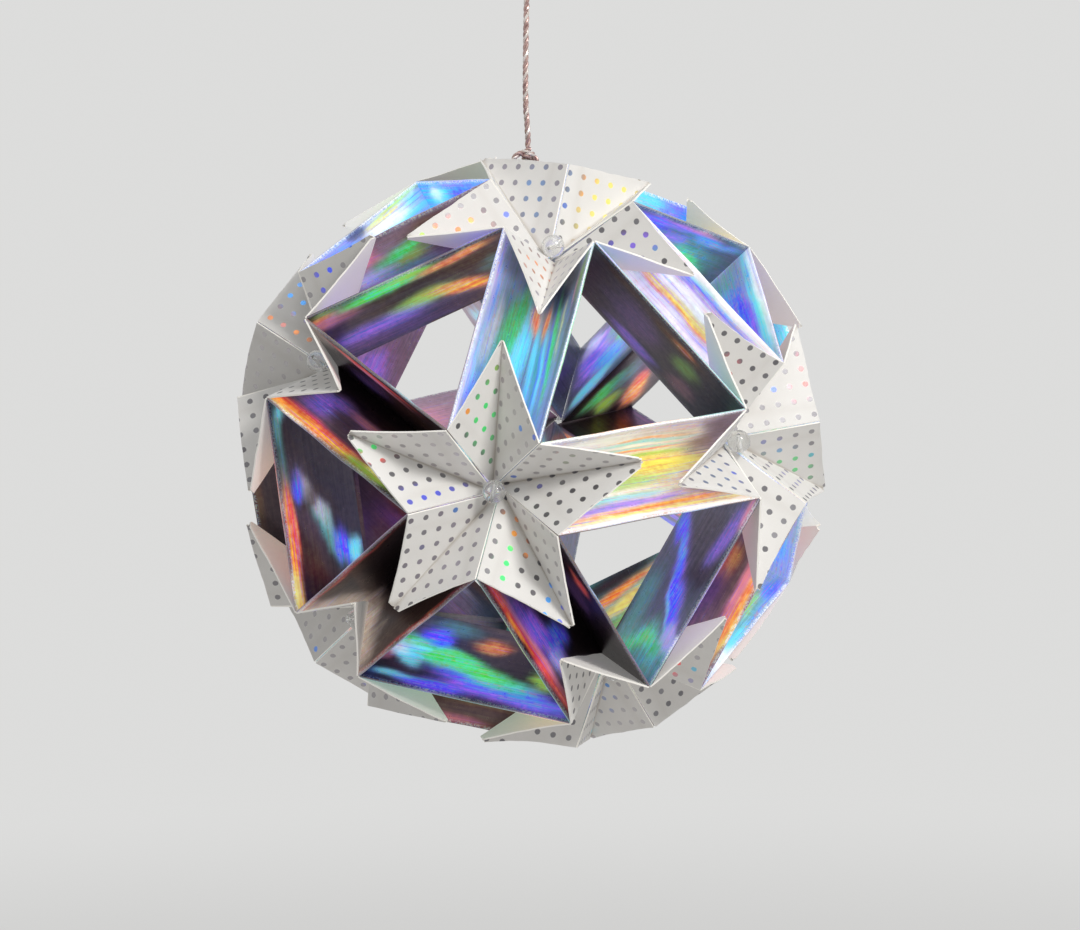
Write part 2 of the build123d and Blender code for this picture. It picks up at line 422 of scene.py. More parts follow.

# Foil faces that show from the front, by unit, wall and face: ground tint, then the painted light
# on it.
# Bright smears are painted highlights and reflections; black smears, and dark ones under the arms
# and in the valleys, are painted shade. A smear has its tint, its middle (0 to 200 along the unit,
# 0 to 100 from valley to rim), half length, half width and strength in hundredths, and its lean in
# degrees if it leans. One that starts with below is painted shade: it tints all below a line, and
# has its tint, the line's ends and its strength
tint_and_painted_light_seen = {
    "5B funnel": (
        "plum", ("mauve", 100, 50, 130, 60, 50), ("brown", 170, 60, 40, 30, 80),
        ("brown", 90, 62, 50, 10, 70), ("rose", 20, 80, 30, 12, 55), ("orange", 12, 88, 14, 5, 50),
        ("leaf", 15, 95, 20, 4, 60), ("green", 75, 90, 42, 11, 100), ("green", 70, 86, 28, 6, 100),
        ("leaf", 105, 95, 30, 5, 90), ("brown", 100, 76, 60, 6, 90),
        ("orange", 145, 88, 36, 6, 75, 4), ("brown", 150, 72, 40, 10, 80),
        ("leaf", 100, 46, 32, 13, 95, 5), ("orange", 136, 36, 30, 11, 100, -25),
        ("yellow", 128, 42, 12, 4, 50, -25), ("violet", 52, 32, 45, 15, 65),
        ("purple", 70, 12, 70, 14, 80), ("brown", 140, 10, 50, 12, 60),
        ("rose", 170, 15, 20, 10, 45), ("teal", 170, 55, 15, 15, 40)),
    "11B trough": (
        "steel", ("lavender", 100, 90, 100, 10, 60), ("azure", 60, 84, 40, 3, 60),
        ("white", 110, 97, 120, 4, 50), ("cyan", 130, 88, 40, 3, 50), ("teal", 100, 62, 50, 16, 60),
        ("silver", 95, 76, 35, 10, 80, 10), ("plum", 15, 45, 22, 50, 60),
        ("green", 72, 42, 38, 15, 90, 20), ("cyan", 95, 17, 40, 15, 75),
        ("orange", 50, 8, 13, 10, 80), ("azure", 160, 50, 35, 30, 50),
        ("blue", 170, 80, 30, 10, 40)),
    "11A trough": (
        "steel", ("plum", 30, 50, 34, 42, 85), ("leaf", 30, 93, 30, 6, 70),
        ("rose", 45, 86, 25, 2, 50), ("green", 100, 66, 60, 5, 90, 10),
        ("blue", 100, 58, 50, 3.5, 70, 10), ("cyan", 125, 50, 60, 5, 90, 10),
        ("blue", 120, 42, 50, 3.5, 70, 10), ("teal", 110, 34, 50, 6, 90, 10),
        ("orange", 62, 30, 14, 7, 90, 10), ("orange", 60, 5, 12, 6, 80),
        ("cyan", 100, 18, 50, 8, 85, 10), ("azure", 160, 22, 35, 16, 70, 10),
        ("yellow", 85, 75, 25, 3, 60, 10), ("teal", 170, 60, 25, 15, 50),
        ("mauve", 110, 92, 90, 5, 60)),
    "14B trough": (
        "plum", ("mauve", 50, 60, 70, 30, 70), ("violet", 38, 55, 20, 25, 75, 30),
        ("red", 50, 86, 70, 6, 90), ("orange", 50, 92, 80, 6, 100), ("yellow", 30, 97, 25, 3, 80),
        ("leaf", 135, 93, 40, 6, 100), ("yellow", 150, 88, 25, 3, 80), ("rose", 85, 42, 30, 6, 50),
        ("brown", 110, 30, 60, 12, 60), ("black", 80, 4, 110, 20, 90)),
    "14A trough": (
        "plum", ("rose", 85, 80, 50, 8, 80, -6), ("red", 90, 88, 60, 6, 100),
        ("violet", 70, 45, 40, 20, 40, 30), ("cream", 10, 85, 20, 30, 40),
        ("brown", 120, 50, 80, 20, 50), ("black", 120, 12, 90, 25, 70)),
    "18A funnel": (
        "plum", ("brown", 100, 60, 100, 50, 25), ("black", 160, 45, 35, 30, 35),
        ("brown", 150, 70, 45, 15, 80, -8), ("mauve", 100, 70, 50, 20, 35, -20),
        ("teal", 130, 45, 42, 8, 90, -32), ("silver", 105, 56, 30, 7, 75, -32),
        ("blue", 85, 77, 11, 8, 90), ("below", "plum", 0, 100, 172, 0, 90),
        ("teal", 25, 93, 20, 6, 80), ("cyan", 16, 86, 8, 6, 60), ("teal", 65, 91, 30, 6, 50),
        ("orange", 145, 92, 60, 8, 100), ("red", 120, 87, 35, 5, 90, -5),
        ("yellow", 182, 95, 20, 7, 100), ("brown", 100, 62, 10, 16, 70, -30),
        ("blue", 150, 22, 17, 12, 100, -30), ("cyan", 152, 10, 13, 8, 100)),
    "29A funnel": (
        "plum", ("cyan", 30, 88, 20, 6, 70), ("blue", 70, 90, 35, 9, 90),
        ("violet", 135, 82, 60, 14, 100, 6), ("blue", 125, 74, 60, 11, 100, 10),
        ("green", 95, 56, 66, 13, 100, 19), ("green", 60, 48, 22, 13, 100, 25),
        ("cyan", 40, 56, 15, 15, 100, 30), ("white", 38, 54, 6, 5, 50, 30),
        ("below", "plum", 45, 26, 200, 83, 90), ("blue", 60, 28, 13, 13, 100, 40),
        ("teal", 75, 12, 20, 10, 50), ("orange", 110, 25, 16, 9, 60),
        ("leaf", 166, 58, 14, 13, 90, 20), ("rose", 14, 60, 8, 30, 45, 60)),
    "25B trough": (
        "plum", ("mauve", 40, 80, 35, 10, 60), ("violet", 110, 68, 50, 14, 100, -10),
        ("blue", 135, 52, 20, 20, 100, 30), ("lavender", 150, 66, 20, 12, 70),
        ("purple", 50, 50, 40, 20, 50), ("rose", 120, 84, 60, 5, 80),
        ("red", 100, 91, 100, 5.5, 100), ("orange", 70, 94, 30, 3, 80),
        ("black", 100, 6, 100, 22, 90)),
    "25A trough": (
        "plum", ("red", 70, 77, 18, 12, 85, -20), ("purple", 100, 45, 35, 25, 80, -20),
        ("teal", 70, 35, 20, 15, 25), ("black", 180, 50, 35, 80, 95)),
    "23A funnel": (
        "slate", ("plum", 130, 60, 50, 50, 60), ("teal", 20, 60, 28, 60, 100),
        ("green", 25, 55, 12, 35, 60, -10), ("violet", 150, 84, 35, 10, 50, 5),
        ("violet", 90, 52, 55, 14, 50, -42), ("blue", 85, 55, 45, 10, 100, -42),
        ("lavender", 44, 90, 16, 12, 80, -60), ("cyan", 66, 60, 22, 3, 50, -42),
        ("plum", 110, 82, 12, 22, 80, -15), ("blue", 125, 12, 18, 10, 80, -30),
        ("azure", 110, 30, 10, 8, 40, -30), ("rose", 185, 95, 20, 5, 50),
        ("teal", 60, 15, 30, 15, 60)),
    "7B funnel": (
        "plum", ("purple", 75, 50, 32, 30, 55), ("violet", 90, 12, 28, 10, 50),
        ("brown", 120, 85, 38, 10, 90), ("orange", 125, 87, 16, 5, 35),
        ("leaf", 140, 60, 15, 15, 35, 30), ("brown", 40, 90, 30, 6, 60),
        ("rose", 145, 25, 15, 15, 15)),
    "16A trough": (
        "silver", ("white", 50, 75, 50, 20, 60), ("slate", 30, 90, 30, 10, 40),
        ("orange", 115, 66, 40, 3, 80, -4), ("cyan", 115, 58, 45, 5, 70, -4),
        ("white", 110, 50, 45, 5, 80, -4), ("cyan", 110, 42, 40, 3.5, 60, -4),
        ("orange", 115, 35, 45, 2.5, 90, -4), ("white", 115, 28, 40, 4, 60, -4),
        ("leaf", 125, 18, 45, 9, 80, -4), ("yellow", 130, 6, 40, 8, 90),
        ("cream", 145, 75, 20, 20, 70), ("mauve", 185, 60, 22, 70, 100)),
    "16B trough": (
        "cream", ("silver", 50, 50, 50, 30, 70), ("leaf", 90, 38, 50, 16, 60, -5),
        ("yellow", 140, 16, 45, 17, 100), ("white", 80, 52, 40, 4, 60, -5),
        ("cyan", 75, 62, 45, 5, 70, -5), ("violet", 75, 73, 60, 5, 75, -5),
        ("orange", 100, 83, 80, 4.5, 100, -2), ("yellow", 100, 90, 90, 3.5, 100),
        ("white", 100, 96, 100, 3.5, 100), ("mauve", 175, 62, 26, 18, 95, 10),
        ("plum", 185, 70, 12, 10, 60)),
    "7A trough": (
        "silver", ("slate", 25, 60, 20, 50, 50), ("cyan", 60, 10, 40, 10, 50),
        ("white", 100, 46, 90, 10, 100), ("violet", 100, 36, 55, 4, 90),
        ("rose", 95, 29, 40, 4, 90), ("orange", 100, 60, 70, 2.5, 100),
        ("yellow", 100, 65, 80, 4, 100), ("white", 100, 75, 100, 7, 100),
        ("violet", 100, 84, 90, 1.5, 70), ("blue", 100, 89, 90, 2, 80),
        ("cyan", 90, 92.5, 80, 2, 90), ("white", 100, 99, 120, 6, 100)),
    "3B funnel": (
        "slate", ("blue", 45, 86, 35, 9, 90), ("violet", 80, 92, 50, 4, 80),
        ("teal", 130, 70, 50, 16, 90, -10), ("green", 135, 62, 35, 7, 80, -15),
        ("azure", 150, 88, 40, 6, 70), ("rose", 120, 95, 40, 2.5, 50),
        ("violet", 90, 78, 20, 6, 60), ("teal", 90, 40, 40, 15, 70)),
    "10B funnel": (
        "steel", ("teal", 30, 50, 30, 30, 70), ("azure", 90, 55, 50, 16, 90),
        ("blue", 100, 70, 60, 12, 100), ("violet", 110, 82, 60, 6, 100),
        ("cyan", 80, 90, 100, 7, 100), ("white", 70, 96, 90, 5, 90),
        ("silver", 25, 20, 30, 6, 50, 45)),
    "9B funnel": (
        "slate", ("violet", 50, 55, 40, 30, 100, -20), ("azure", 80, 30, 35, 16, 100, -20),
        ("cyan", 50, 12, 30, 10, 90), ("lavender", 30, 80, 20, 12, 90),
        ("teal", 90, 70, 25, 20, 70), ("green", 100, 50, 12, 12, 70)),
    "9A funnel": (
        "plum", ("mauve", 60, 50, 60, 40, 60), ("orange", 40, 72, 35, 13, 100, -20),
        ("leaf", 28, 42, 28, 15, 90, -20), ("green", 50, 20, 35, 10, 80),
        ("teal", 80, 30, 30, 12, 80), ("purple", 110, 50, 30, 30, 60),
        ("red", 65, 60, 18, 9, 80, -20)),
    "5A trough": (
        "mauve", ("lavender", 62, 62, 20, 10, 90), ("rose", 60, 82, 18, 8, 70),
        ("green", 98, 76, 28, 7, 100, 14), ("leaf", 100, 66, 25, 5, 80, 14),
        ("teal", 90, 58, 30, 5, 70), ("brown", 130, 88, 35, 8, 80), ("plum", 150, 68, 30, 15, 70)),
    "4A funnel": (
        "steel", ("cream", 50, 88, 55, 20, 80), ("cyan", 35, 74, 45, 5, 90),
        ("white", 60, 83, 40, 7, 100, 6), ("yellow", 65, 92, 45, 4, 90),
        ("leaf", 35, 97, 50, 3, 80), ("cyan", 15, 88, 15, 6, 70), ("azure", 135, 80, 22, 12, 90),
        ("blue", 165, 85, 25, 10, 90), ("white", 155, 76, 12, 4, 70),
        ("plum", 112, 95, 15, 8, 70)),
    "1B funnel": (
        "azure", ("slate", 80, 60, 10, 20, 70), ("cyan", 50, 80, 30, 15, 90),
        ("white", 40, 85, 15, 10, 70), ("blue", 110, 80, 40, 15, 90),
        ("mauve", 170, 85, 20, 10, 80), ("violet", 100, 96, 60, 4, 60)),
    "3A trough": (
        "azure", ("cyan", 120, 90, 50, 10, 90), ("white", 80, 85, 30, 6, 60),
        ("violet", 170, 90, 20, 10, 60)),
    "26A funnel": (
        "teal", ("green", 130, 62, 40, 12, 90, -10), ("leaf", 120, 42, 50, 7, 90, -12),
        ("yellow", 110, 30, 50, 6, 100, -12), ("orange", 100, 18, 50, 6, 100, -12),
        ("plum", 110, 2, 60, 10, 90, -10)),
    "23B trough": (
        "mauve", ("brown", 110, 70, 40, 15, 70), ("purple", 80, 50, 40, 20, 70),
        ("orange", 100, 93, 80, 6, 95), ("rose", 110, 85, 60, 5, 80), ("yellow", 60, 97, 30, 3, 70),
        ("orange", 120, 60, 20, 10, 50)),
    "27A funnel": (
        "steel", ("teal", 120, 88, 80, 8, 80), ("azure", 60, 85, 25, 8, 90),
        ("white", 45, 95, 30, 6, 90), ("cyan", 90, 93, 30, 4, 80), ("leaf", 140, 83, 25, 5, 80),
        ("blue", 175, 90, 20, 6, 70)),
    "19A funnel": (
        "steel", ("azure", 70, 80, 40, 12, 90), ("violet", 100, 62, 30, 12, 70),
        ("cyan", 130, 75, 30, 8, 80), ("mauve", 30, 40, 20, 30, 50),
        ("teal", 160, 50, 30, 20, 70)),
    "8A funnel": (
        "mauve", ("rose", 30, 70, 20, 20, 60), ("green", 80, 50, 30, 15, 80, 30),
        ("yellow", 110, 60, 20, 10, 60, 30), ("violet", 130, 30, 30, 20, 60)),
    "6A funnel": (
        "mauve", ("orange", 50, 70, 30, 12, 70, 60), ("leaf", 30, 50, 30, 8, 70, 60),
        ("cyan", 90, 50, 30, 15, 60, 60)),
    "15B funnel": ("mauve", ("rose", 60, 50, 60, 30, 35)),
    "22A trough": (
        "plum", ("brown", 70, 90, 80, 15, 60), ("cream", 0, 60, 30, 80, 75),
        ("black", 110, 30, 80, 50, 85), ("red", 90, 96, 90, 4, 50)),
    "22B trough": (
        "plum", ("brown", 90, 85, 80, 20, 60), ("cream", 0, 45, 30, 60, 80),
        ("red", 100, 97, 90, 3, 60), ("black", 100, 20, 70, 40, 85)),
    "24A funnel": (
        "plum", ("brown", 60, 25, 12, 30, 60), ("mauve", 150, 30, 40, 20, 70),
        ("purple", 90, 15, 40, 12, 50), ("silver", 130, 12, 30, 5, 30)),
    "28B funnel": ("plum", ("mauve", 60, 10, 50, 15, 80)),
    "29B trough": ("brown", ("plum", 100, 85, 80, 10, 70), ("rose", 80, 96, 30, 5, 40)),
    "18B trough": ("plum", ("black", 110, 80, 50, 20, 70), ("brown", 90, 95, 40, 6, 60)),
    "17B funnel": ("plum", ("brown", 20, 50, 20, 40, 60), ("purple", 25, 90, 30, 20, 50)),
    "6B funnel": (
        "slate", ("violet", 120, 40, 30, 30, 90), ("teal", 150, 70, 30, 20, 80),
        ("green", 90, 20, 20, 15, 80), ("plum", 180, 40, 20, 50, 60)),
    "20A funnel": ("slate", ("violet", 130, 30, 30, 30, 70), ("brown", 160, 70, 30, 20, 60)),
    "21A funnel": ("plum", ("brown", 70, 10, 50, 20, 60)),
}

# Dots that catch the light on the arms that show from the front, painted as coloured glints that
# glow, as smears on each half arm, with 0 to 200 from the ridge to the tip and 0 to 100 from the
# fold to the free edge; whole is all of it
whole = (100, 50, 200, 100)
sparks_seen = {
    "11.1A": (
        ("green", 75, 45, 70, 50, 95), ("leaf", 150, 60, 25, 40, 95),
        ("orange", 55, 90, 18, 15, 100)),
    "11.1B": (),
    "14.1B": (),
    "25.0A": (),
    "22.1A": (("silver", 60, 50, 120, 90, 50),),
    "22.1B": (("silver", 100, 40, 160, 80, 42),),
    "14.1A": (
        ("blue", 25, 60, 40, 60, 70), ("brown", 135, 30, 20, 35, 80), ("red", 142, 75, 20, 40, 100),
        ("green", 168, 50, 20, 80, 100)),
    "25.0B": (
        ("green", 45, 60, 25, 50, 100), ("orange", 60, 15, 45, 18, 100),
        ("azure", 158, 50, 28, 100, 100), ("violet", 190, 40, 16, 90, 90)),
    "16.0B": (("blue", 50, 20, 20, 20, 50), ("leaf", 90, 10, 40, 10, 40)),
    "16.0A": (("leaf", 80, 60, 30, 30, 40), ("orange", 50, 80, 15, 20, 50)),
    "5.1A": (("rose", 100, 50, 80, 60, 80),),
    "5.1B": (
        ("orange", 100, 40, 50, 50, 95), ("red", 130, 60, 30, 30, 80),
        ("leaf", 170, 50, 25, 50, 90)),
    "11.0A": (("silver", *whole, 60),),
    "11.0B": (("silver", *whole, 60), ("orange", 60, 40, 50, 50, 80)),
    "3.0A": (
        ("azure", 20, 80, 30, 50, 60), ("yellow", 110, 50, 90, 90, 100),
        ("orange", 50, 80, 20, 30, 70)),
    "1.0A": (("silver", *whole, 55), ("lavender", 40, 50, 30, 50, 60)),
    "1.0B": (("silver", *whole, 55), ("azure", 60, 50, 30, 50, 60)),
    "1.1A": (("silver", *whole, 55), ("lavender", 40, 50, 30, 50, 60)),
    "1.1B": (("silver", *whole, 55), ("azure", 60, 50, 30, 50, 60)),
    "3.0B": (
        ("cream", *whole, 70), ("yellow", 120, 40, 60, 50, 90), ("orange", 90, 90, 40, 20, 60)),
    "7.0A": (("violet", 80, 60, 40, 40, 80), ("blue", 50, 30, 30, 30, 50)),
    "7.1B": (("orange", 120, 20, 60, 25, 95), ("red", 90, 50, 30, 20, 70)),
    "10.1B": (("red", 90, 85, 50, 25, 80),),
    "16.1A": (("silver", *whole, 50), ("azure", 80, 50, 70, 50, 50), ("blue", 30, 50, 20, 30, 70)),
    "19.1A": (("green", 100, 40, 70, 50, 70), ("violet", 40, 40, 30, 40, 50)),
    "19.1B": (("lavender", 100, 50, 80, 50, 60),),
    "4.1A": (("azure", 90, 60, 50, 50, 90), ("orange", 30, 60, 25, 50, 80)),
}

# Arms whose outline shows from the front: bow of the free edge at each shoulder, lift of the
# tip and droop of the edges in millimetres, and the tip's width as a share of the folded one
arms_seen = {
    "11.1": (-0.35, -0.25, 0, 0, 0.55), "14.1": (0.15, -0.55, 0.3, 0.2, 1.3),
    "22.1": (-0.45, -0.5, 0, 0, 2.3), "25.0": (-0.3, -0.2, 0, 0, 1.2),
    "16.0": (0.35, -0.1, 0.2, 0.2, 1.7), "11.0": (-1, -1, 0.3, 0, 0.5),
    "5.1": (-0.2, 0.3, 0.2, 0, 0.9), "3.0": (0.1, -0.1, 0, 0, 0.6),
    "7.0": (-0.3, -0.4, 0.2, 0.1, 0.8), "16.1": (-0.5, -0.3, 0.5, 0, 0.9),
}
grounds = ("mauve", "slate", "plum", "teal", "steel", "brown")
line_softness = 0.05
smear_edge = 1.7


def as_shares(rows):
    """Smears with their hundredths turned into shares."""
    smears = []
    for first, *rest in rows:
        kept = [first, rest.pop(0)] if first == "below" else [first]
        smears.append((*kept, *(part / 100 for part in rest[:5]), *rest[5:]))
    return smears


tint_and_painted_light_seen = {face: (ground, as_shares(rows)) for face, (ground, *rows) in tint_and_painted_light_seen.items()}
sparks_seen = {half: as_shares(rows) for half, rows in sparks_seen.items()}


def chance_smears(chance, count):
    """Ground tint and painted sheens, at random, of a foil face not seen from the front."""
    first = chance.randrange(len(rainbow_order))
    smears = []
    for turn in range(count):
        tint = rainbow_order[(first + turn) % len(rainbow_order)]
        middle = chance.uniform(0.2, 1.8), (turn + chance.random()) / count
        size = chance.uniform(0.3, 0.8), chance.uniform(0.07, 0.18)
        lean, strength = chance.uniform(-25, 25), chance.uniform(0.6, 1.0)
        smears.append((tint, *middle, *size, strength, lean))
    return chance.choice(grounds), smears


def smeared(ground, smears, x, y, seed):
    """Colour of a ground under its smears of painted light and shade at one place."""
    warp = Vector((x * 2.2, y * 4.5, seed))
    x += noise.noise(warp) * 0.12 + noise.noise(warp * 3) * 0.05
    y += noise.noise(warp + Vector((9, 5, 3))) * 0.035 + noise.noise(warp * 3.1) * 0.015
    shade = Vector(ground)
    amount = 0.0
    for tint, *shape in smears:
        if tint == "below":
            tint, start_x, start_y, end_x, end_y, strength = shape
            below = start_y + (x - start_x) * (end_y - start_y) / (end_x - start_x) - y
            share = strength * min(1.0, max(0.0, below / line_softness))
        else:
            mid_x, mid_y, long, wide, strength, lean = (*shape, 0)[:6]
            tilt = radians(lean)
            off_x, off_y = x - mid_x, y - mid_y
            down = (off_x * cos(tilt) + off_y * sin(tilt)) / long
            over = (off_y * cos(tilt) - off_x * sin(tilt)) / wide
            share = strength * exp(-((down * down + over * over) ** smear_edge))
        shade = shade.lerp(Vector(tints[tint]), share)
        amount = max(amount, share)
    return shade, amount


# Folded paper: its grids, and its unevenness
wall_grid = (44, 72)
arm_grid = (26, 18)
wall_crumple = 9 * mm
arm_crumple = 7 * mm
crumple_height = 0.3 * mm
edge_wave = 0.14
tip_tear = 0.5
shell_limit = 1.5
fold_angle = radians(24)
tiny = 1e-6


def crumple(place, seed, size):
    """Slow unevenness of hand-folded paper."""
    return noise.noise(place / size + Vector((seed * 7.3, seed * 3.1, 0))) * crumple_height


def sheet(along, across, spot):
    """A grid of paper; spot gives the place for a share along it and -1 to 1 across it."""
    bm = bmesh.new()
    share_along = bm.verts.layers.float.new("share_along")
    share_across = bm.verts.layers.float.new("share_across")
    bmesh.ops.create_grid(bm, x_segments=along, y_segments=across, size=1)
    for vert in bm.verts:
        vert[share_along], vert[share_across] = (vert.co.x + 1) / 2, vert.co.y
        vert.co = spot(vert[share_along], vert[share_across])
    bm.normal_update()
    return bm


def thicken(bm, thickness):
    """Give a sheet its thickness, half to either side."""
    for vert in bm.verts:
        vert.co += vert.normal * min(vert.calc_shell_factor(), shell_limit) * thickness / 2
    bmesh.ops.solidify(bm, geom=bm.faces[:], thickness=thickness)


def finished(bm, name, materials, slot, *nodes):
    """Turn a bmesh into a piece of the ball, smooth but for its folds."""
    share_across = bm.verts.layers.float.get("share_across")
    for edge in bm.edges:
        folded = share_across and all(abs(vert[share_across]) < tiny for vert in edge.verts)
        joined = len(edge.link_faces) == 2
        edge.smooth = joined and edge.calc_face_angle() < fold_angle and not folded
    mesh = bpy.data.meshes.new(name)
    bm.to_mesh(mesh)
    bm.free()
    for material in materials:
        mesh.materials.append(material)
    piece = bpy.data.objects.new(name, mesh)
    scene.collection.objects.link(piece)
    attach(piece, "root")
    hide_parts(*nodes)
    return piece


def trough_spot(number):
    """Where the points of a unit's trough lie, in the unit's own frame."""
    shy = wall_shy / (corner - far(corner)).length

    def spot(along, across):
        along = shy + along * (1 - 2 * shy)
        valley = corner.lerp(far(corner), along)
        if across < 0:
            rim = shoulder_a.lerp(far(shoulder_b), along)
        else:
            rim = shoulder_b.lerp(far(shoulder_a), along)
        place = valley.lerp(rim, abs(across))
        held = sin(pi * along) * sin(pi * abs(across) / 2)
        out = Vector((0, -1 if across < 0 else 1, 0.6)).normalized()
        return place + out * held * crumple(place, number, wall_crumple)

    return spot


# Painted light on the foil: how much brighter funnels that show from the front are painted, and how
# a painted colour's sum turns into the share of it that glows
funnel_painted_light_gain = 0.3
dull_share = 0.35
full_sum = 1.1


def paint_foil(mesh, number):
    """Lay the tint and painted light of both faces of both walls on a trough's points."""
    mesh.attributes.new("run", "FLOAT_VECTOR", "POINT")
    mesh.attributes.new("sheen", "FLOAT_COLOR", "POINT")
    names = "run", "sheen", "share_along", "share_across", "side"
    run, sheen, along, across, side = (mesh.attributes[name].data for name in names)
    length = (corner - far(corner)).length / mm
    painted = {}
    for wall, face in product("AB", ("trough", "funnel")):
        chance = Random(f"{number}{wall}{face}")
        painted[wall, face] = tint_and_painted_light_seen.get(f"{number}{wall} {face}") or chance_smears(chance, 6)
    gain = funnel_painted_light_gain if any(f"{number}{wall} funnel" in tint_and_painted_light_seen for wall in "AB") else 0.0
    for index in range(len(mesh.vertices)):
        s, t = along[index].value, across[index].value
        face = "trough" if side[index].value > 0 else "funnel"
        shades = []
        for wall in "AB" if abs(t) < tiny else "A" if t < 0 else "B":
            ground, smears = painted[wall, face]
            seed = number * 10 + (4 if wall == "A" else 0) + (2 if face == "trough" else 0)
            shades.append(smeared(tints[ground], smears, 2 * s, abs(t), seed)[0])
        # In the valley the darker of the walls' colours is kept: painted shade of the fold
        shade = min(shades, key=sum)
        # Funnels of units whose funnel shows from the front are painted brighter: painted light
        if face == "funnel":
            shade *= 1 + gain * min(1.0, sum(shade))
        # Alpha: how bright the painted light is, which sets the foil's glow
        sheen[index].color = (*shade, min(1.0, max(0.0, sum(shade) / full_sum - dull_share)))
        run[index].vector = (s * length, t * wall_height, number * 10 + side[index].value)


for number, (first, second) in enumerate(edges, start=1):
    spot = trough_spot(number)
    bm = sheet(*wall_grid, spot)
    thicken(bm, wall_thickness)
    side = bm.verts.layers.float.new("side")
    share_along = bm.verts.layers.float["share_along"]
    share_across = bm.verts.layers.float["share_across"]
    for vert in bm.verts:
        away = vert.co - spot(vert[share_along], vert[share_across])
        inward = Vector((0, 1 if vert[share_across] < 0 else -1, 0.9))
        vert[side] = 1.0 if away.dot(inward) > 0 else -1.0
    for face in bm.faces:
        face.material_index = 1 if len({vert[side] > 0 for vert in face.verts}) == 2 else 0
        face.smooth = True
    rims = [
        edge for edge in bm.edges
        if len({face.material_index for face in edge.link_faces}) == 2
        and all(abs(abs(vert[share_across]) - 1) < tiny for vert in edge.verts)
    ]
    bmesh.ops.bevel(
        bm, geom=rims, offset=wall_thickness * 0.3, affect="EDGES", segments=2, profile=0.5,
        material=1,
    )
    bmesh.ops.transform(bm, matrix=placed(first, second).to_4x4(), verts=bm.verts)
    piece = finished(
        bm, f"trough_{number:02d}", [foil_face, foil_rim], "foil_paper", f"unit_{number:02d}"
    )
    paint_foil(piece.data, number)

# Arms: their fold, and how far from facing the key lamp their dots start to look pale: painted
# reflection
arm_fold = (tip - corner).normalized()
key_place = Vector((0.50, -0.52, 0.46))
painted_reflection_from = 0.45


def wing(shoulder):
    """Direction across an arm's half, square to its fold and towards a shoulder."""
    side = shoulder - corner
    return (side - arm_fold * side.dot(arm_fold)).normalized()


def arm_spot(number, end):
    """Where the points of one arm lie, in the unit's own frame at its first star."""
    chance = Random(number * 2 + end)
    by_chance = (
        chance.uniform(-0.5, 0.1), chance.uniform(-0.5, 0.1), chance.uniform(-0.3, 0.6),
        chance.uniform(-0.2, 0.4), chance.uniform(0.6, 1.6),
    )
    bow_a, bow_b, lift, droop, blunt = arms_seen.get(f"{number}.{end}", by_chance)

    def spot(along, across):
        edge = 1 if across < 0 else 2
        wavy = noise.noise(Vector((along * 9, edge, number * 3 + end))) * edge_wave
        torn = noise.noise(Vector((across * 3, 5, number * 3 + end))) * tip_tear * along ** 20
        shoulder, bow = (shoulder_a, bow_a) if across < 0 else (shoulder_b, bow_b)
        out = wing(shoulder)
        start = ridge_gap + along * (1 - ridge_gap)
        fold = corner.lerp(tip, start)
        free = shoulder.lerp(tip + out * tip_width / 2 * blunt, start)
        free += out * (bow + wavy) * sin(pi * along) * mm
        place = fold.lerp(free, abs(across)) + arm_fold * torn * mm
        rise = (lift * along ** 2 + droop * sin(pi * along) * abs(across)) * mm
        uneven = along * (1 - along) * 4 * crumple(place, number + end * 40, arm_crumple)
        return place + Vector((0, 0, 1)) * (rise + uneven)

    return spot


def painted_crease_shade(s, t):
    """Painted shade of an arm's fold, and of the faint line pressed across it near the ridge."""
    fold = exp(-(abs(t) * (1 - s) * 13 / 0.25) ** 2)
    pressed = exp(-((s * 16 - 3.4 + abs(t)) / 0.7) ** 2)
    return 0.22 * pressed + fold


